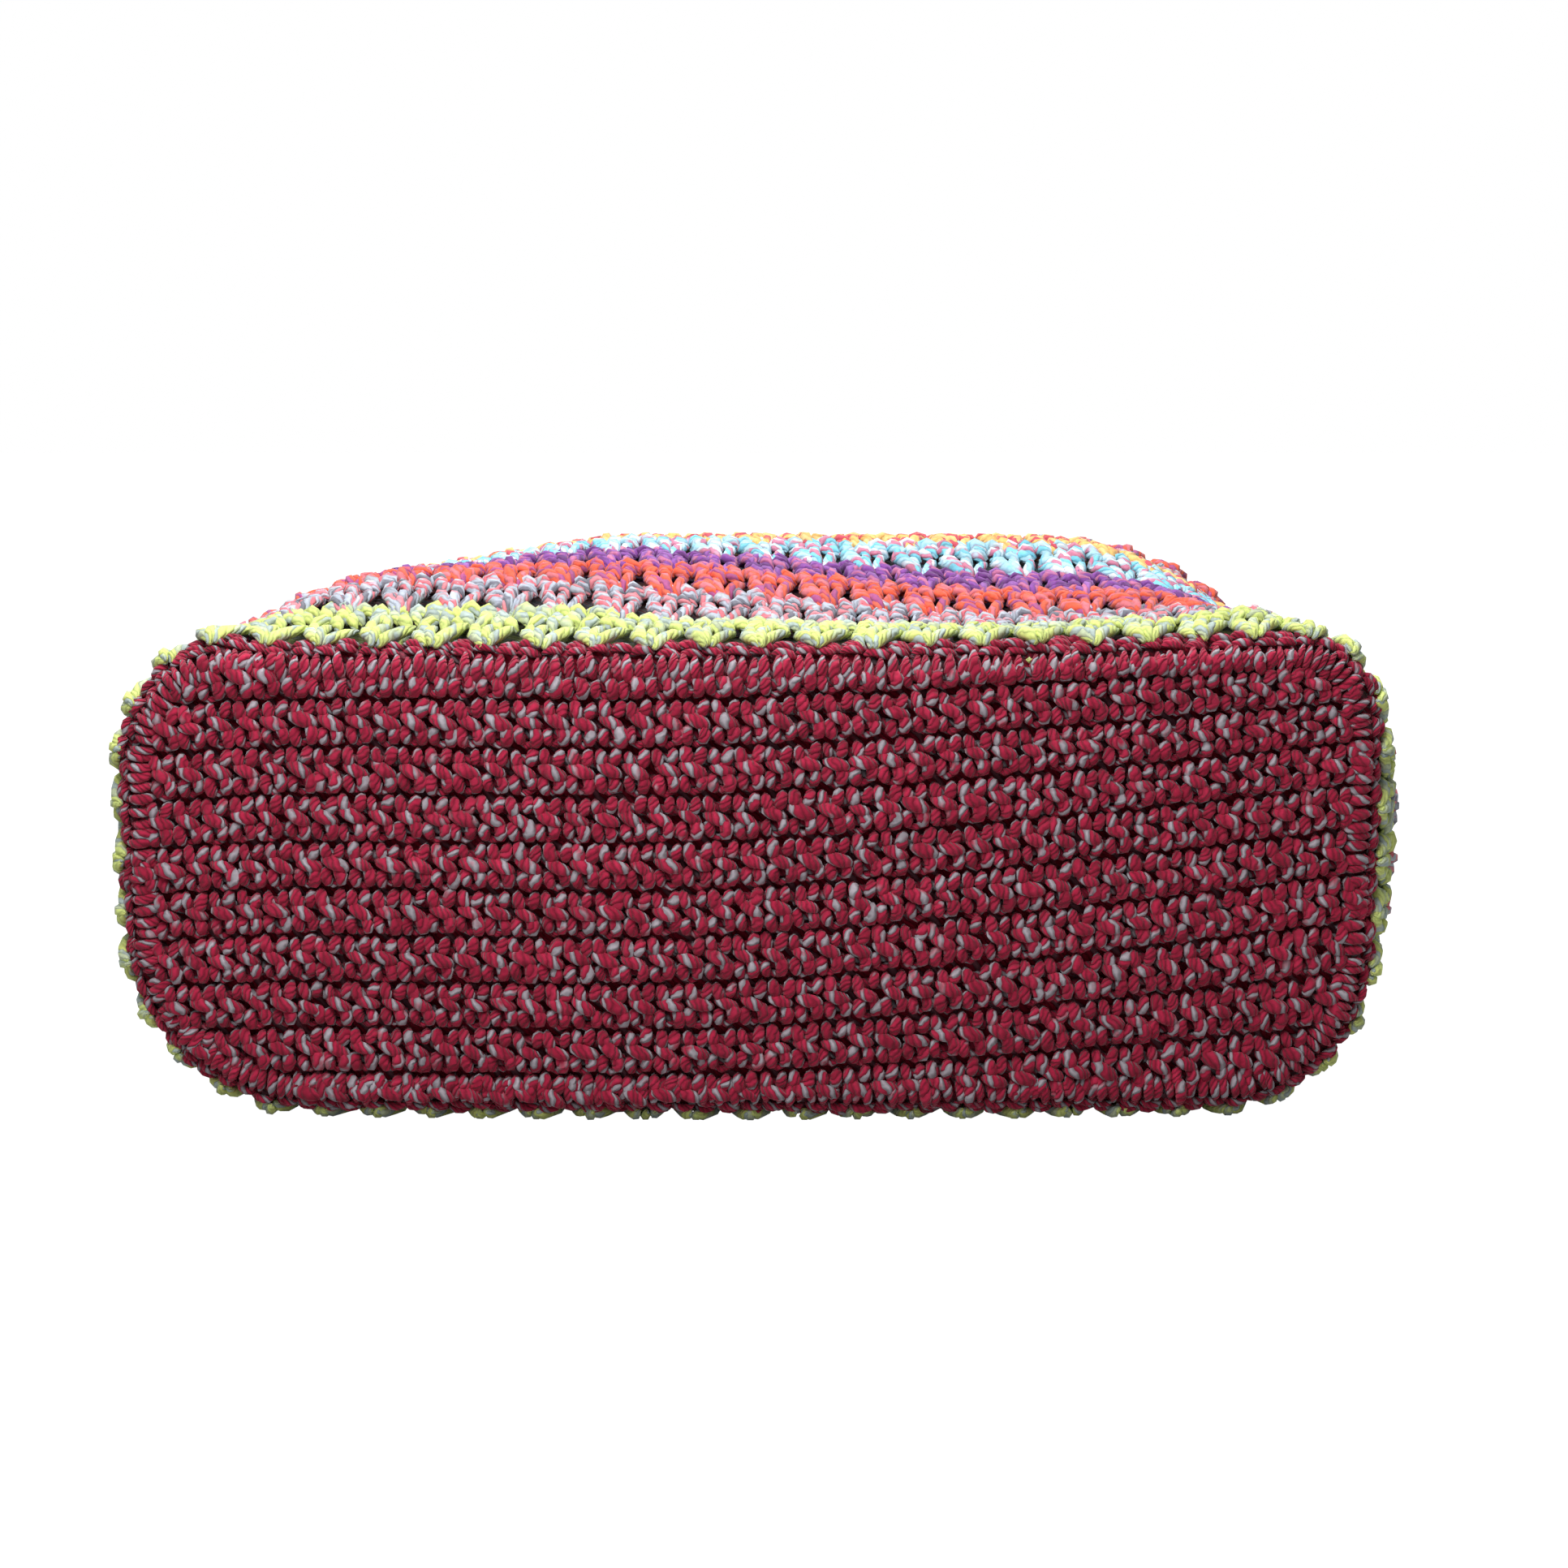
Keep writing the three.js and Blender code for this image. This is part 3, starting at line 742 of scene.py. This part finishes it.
rim_stitch = bundle(band_strands + [
    strand([(-3.0, 7.2, -4.7), (-1.0, 7.0, -5.3), (3.0, 5.4, -4.6)], (2.2, 3.2, 2.2), 2),
    strand([(-1.7, 11.0, -4.4), (-1.6, 8.0, -4.4)], 3.2, 1),
    strand([(1.7, 11.0, -4.4), (1.6, 8.0, -4.4)], 3.2, 1),
    strand([(-1.7, 5.2, -4.4), (-1.6, 0.8, -4.4)], 3.3, 1),
    strand([(1.7, 5.2, -4.4), (1.6, 0.8, -4.4)], 3.3, 1),
])


def rim_face(a, b, proud):
    """The rim's face: a round it, b towards the mouth, and proud outwards."""
    return wall_point(a / rim_run, wall_depth + b, proud)


rim_seats = [(k * stitch_width, pair * row_pair) for pair in range(rim_pairs) for k in range(rim_stitches)]
rim_core_reaches = (0.0, row_pair, 2 * row_pair, rim_depth - 0.5)
rim_core_prouds = (-1.9, -3.9)
# The rim's core is painted darker on both faces: painted shade.
band_core_painted_shade = 0.55
rim_core = ring_core(rim_face, rim_run, rim_core_reaches, rim_core_prouds, (band_core_painted_shade, band_core_painted_shade))
rim_rows = work_stitches("rim_rows", rim_stitch, rim_seats, rim_face, crimson_marl, extras=[rim_core])
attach(rim_rows, "root")
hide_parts("rim_band")

# The shoulder strap: a band of short rows in the base's yarn, worked from one side fold of the rim
# to the other. It drops to the surface and lies on its edge, leaning outwards.
strap_width = 42
strap_thickness = 5.5
strap_straight = 120
strap_bow = 150
strap_blend = 70
strap_drop = 130
strap_lean = math.radians(18)
strap_column = 6.5
strap_columns = 6
strap_x = base_width / 2 + wall_stations[-1][1] - strap_thickness / 2
strap_y = body_depth + clearance
bend_points = 1200
bend = np.linspace(math.pi, 0, bend_points)
route = np.vstack([
    [(-strap_x, strap_y)],
    np.stack([strap_x * np.cos(bend), strap_y + strap_straight + strap_bow * np.sin(bend)], axis=-1),
    [(strap_x, strap_y)],
])
route_run = np.concatenate([[0], np.cumsum(np.linalg.norm(np.diff(route, axis=0), axis=1))])
strap_length = route_run[-1]
mouth_points = 960
mouth_line = wall_point(np.arange(mouth_points) / mouth_points, body_depth, 0.0)
mouth_length = np.linalg.norm(mouth_line - np.roll(mouth_line, 1, axis=0), axis=1).sum()
left_fold = 0.75
right_fold = 0.25
look_ahead = 0.5


def strap_face(outer):
    """One face of the strap: a runs across it, b along it, and proud stands off that face."""

    def place(a, b, proud):
        b = np.clip(b, 0, strap_length)
        at = [np.interp(b, route_run, route[:, k]) for k in (0, 1)]
        after = np.minimum(b + look_ahead, strap_length)
        before = np.maximum(b - look_ahead, 0)
        ahead = [np.interp(after, route_run, route[:, k]) for k in (0, 1)]
        behind = [np.interp(before, route_run, route[:, k]) for k in (0, 1)]
        way = np.array([ahead[0] - behind[0], ahead[1] - behind[1]])
        way = way / np.linalg.norm(way, axis=0)
        from_end = np.minimum(b, strap_length - b)
        lean = strap_lean * ease(from_end, 0, strap_length / 2)
        through = proud + strap_thickness / 2 if outer else -proud - strap_thickness / 2
        rest = strap_width / 2 * np.cos(lean) + strap_thickness / 2 * np.sin(lean)
        half = strap_width / 2 / mouth_length
        side = np.where(b < strap_length / 2, -1, 1)
        middle = np.where(side < 0, left_fold, right_fold + half / 2)
        share = middle + side * a / (strap_width / 2) * half
        root = wall_point(share, body_depth + 0 * a, through - strap_thickness / 2)
        root_middle = wall_point(middle, body_depth + 0 * a, 0 * a)[..., 2]
        height = root_middle + (rest - root_middle) * ease(from_end, 0, strap_drop)
        rise = a * np.cos(lean) - through * np.sin(lean)
        reach = a * np.sin(lean) + through * np.cos(lean)
        free = np.stack([at[0] - way[1] * reach, at[1] + way[0] * reach, height + rise], axis=-1)
        root[..., 1] = at[1]
        root[..., 2] += height - root_middle
        join = ease(from_end, 0, strap_blend)[..., None]
        where = root + (free - root) * join
        where[..., 2] = np.maximum(where[..., 2], 0)
        return where

    return place


strap_pairs = round(strap_length / row_pair)
strap_pitch = strap_length / strap_pairs
outer_face = strap_face(True)
first_column = -(strap_columns - 1) / 2
strap_seats = [((first_column + k) * strap_column, pair * strap_pitch)
               for pair in range(strap_pairs) for k in range(strap_columns)]

# The strap's own middle: a closed cloth between its two faces, and a cord of loops at each edge.
core_half = 19.5
core_under = 1.5
core_end = 1.0
core_points = 200
core_steps = np.linspace(core_end, strap_length - core_end, core_points)
core_loop = [(-core_half, -core_under), (core_half, -core_under),
             (core_half, core_under - strap_thickness), (-core_half, core_under - strap_thickness)]
core_sections = np.stack([
    outer_face(a + 0 * core_steps, core_steps, proud + 0 * core_steps) for a, proud in core_loop], axis=1)
# The strap's core is painted as dark as the rim's core: painted shade.
strap_parts = [cloth_core(core_sections, False, band_core_painted_shade)]
cord_inset = 2.0
cord_sway = 0.5
cord_lift = 0.4
cord_lift_turn = 1.7
cord_thickness = 4.6
cord_swell = 0.6
# The cords' colour is darkened a little: painted shade.
cord_painted_shade = 0.9
for side in (-1, 1):
    turns = np.arange(4 * strap_pairs + 1)
    in_and_out = np.cos(turns * math.pi)
    cord_line = np.stack([
        side * (strap_width / 2 - cord_inset + cord_sway * in_and_out),
        turns * strap_pitch / 4,
        -strap_thickness / 2 + cord_lift * np.sin(turns * cord_lift_turn),
    ], axis=-1)
    corners, faces, marks, painted_shade = strand(
        cord_line, cord_thickness + cord_swell * in_and_out, len(turns) - 1, painted_shade=cord_painted_shade)
    corners = outer_face(corners[:, 0], corners[:, 1], corners[:, 2])
    faces, marks = face_outwards(corners, faces, marks)
    strap_parts.append((corners, faces, marks, painted_shade))
strap_stitch = bundle(band_strands)
for outer in (True, False):
    name = "strap_outer_rows" if outer else "strap_inner_rows"
    extras = strap_parts if outer else ()
    rows = work_stitches(name, strap_stitch, strap_seats, strap_face(outer), crimson_marl, extras=extras)
    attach(rows, "root")
    if outer:
        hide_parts("shoulder_strap")

# The stand: a plain pale floor, soft studio light from above and a camera where the photograph's
# was. The floor and the world look white to the camera, and light the bag only as a pale room does.
floor_size = 60
floor_drop = 0.0005
bpy.ops.mesh.primitive_plane_add(size=floor_size, location=(0, 0, -floor_drop))
floor = bpy.context.object
floor.name = "floor"


def backdrop_share(dye):
    """1 for the camera's rays and those of gloss and glass, which see the white backdrop, else 0."""
    camera_ray = dye.node("ShaderNodeLightPath")
    rays = camera_ray.socket.node.outputs
    glossy_ray = Dye(dye.tree, rays["Is Glossy Ray"])
    clear_ray = Dye(dye.tree, rays["Is Transmission Ray"])
    return dye.maths("MAXIMUM", dye.maths("MAXIMUM", camera_ray, glossy_ray), clear_ray)


pale = bpy.data.materials.new("pale_floor")
pale.use_nodes = True
pale.node_tree.nodes.clear()
floor_grey = 0.4
glow_strength = 1.7
glow_share = 0.6
floor_dye = Dye(pale.node_tree)
floor_cloth = floor_dye.node("ShaderNodeBsdfDiffuse", (), {"Color": (floor_grey, floor_grey, floor_grey, 1)})
floor_glow = floor_dye.node("ShaderNodeEmission", (), {"Color": (1, 1, 1, 1), "Strength": glow_strength})
floor_share = backdrop_share(floor_dye) * glow_share
floor_mix = floor_dye.node("ShaderNodeMixShader", (), {0: floor_share, 1: floor_cloth, 2: floor_glow})
floor_dye.node("ShaderNodeOutputMaterial", (), {"Surface": floor_mix})
floor.data.materials.append(pale)

world = bpy.data.worlds.new("studio")
bpy.context.scene.world = world
world.use_nodes = True
world.node_tree.nodes.clear()
room_light = 0.22
sky = Dye(world.node_tree)
strength = backdrop_share(sky) * (1 - room_light) + room_light
backdrop = sky.node("ShaderNodeBackground", (), {"Color": (1, 1, 1, 1), "Strength": strength})
sky.node("ShaderNodeOutputWorld", (), {"Surface": backdrop})


def soft_lamp(name, place, aim, size, power):
    """A square studio lamp at a place in metres, turned to the point it lights."""
    data = bpy.data.lights.new(name, "AREA")
    data.size = size
    data.energy = power
    lamp = bpy.data.objects.new(name, data)
    bpy.context.collection.objects.link(lamp)
    lamp.location = place
    lamp.rotation_euler = (Vector(aim) - Vector(place)).to_track_quat("-Z", "Y").to_euler()
    lamp.visible_camera = False


soft_lamp("overhead_lamp", (0.0, 0.15, 1.3), (0, -0.1, 0), 0.9, 16)
soft_lamp("upper_front_lamp", (-0.08, -0.48, 0.38), (-0.02, -0.25, 0.1), 0.22, 1.25)

camera_distance = 0.6
camera_height = math.radians(10)
aim = Vector((0, back_plane * 0.001, 0.06))
photo_pixels = 1932
photo_middle = photo_pixels / 2
aim_column = 924
aim_row = 1075
pixels_per_mm = 5.04
focus_pixels = pixels_per_mm * (camera_distance * 1000)
sensor_width = 36
camera_data = bpy.data.cameras.new("camera")
camera_data.sensor_width = sensor_width
camera_data.lens = sensor_width * focus_pixels / photo_pixels
camera_data.shift_x = (photo_middle - aim_column) / photo_pixels
camera_data.shift_y = (aim_row - photo_middle) / photo_pixels
camera_data.clip_start = 0.01
camera = bpy.data.objects.new("camera", camera_data)
bpy.context.collection.objects.link(camera)
camera.location = aim + camera_distance * Vector((0, -math.cos(camera_height), math.sin(camera_height)))
camera.rotation_euler = (aim - camera.location).to_track_quat("-Z", "Y").to_euler()
bpy.context.scene.camera = camera
bpy.context.scene.view_settings.view_transform = "Standard"
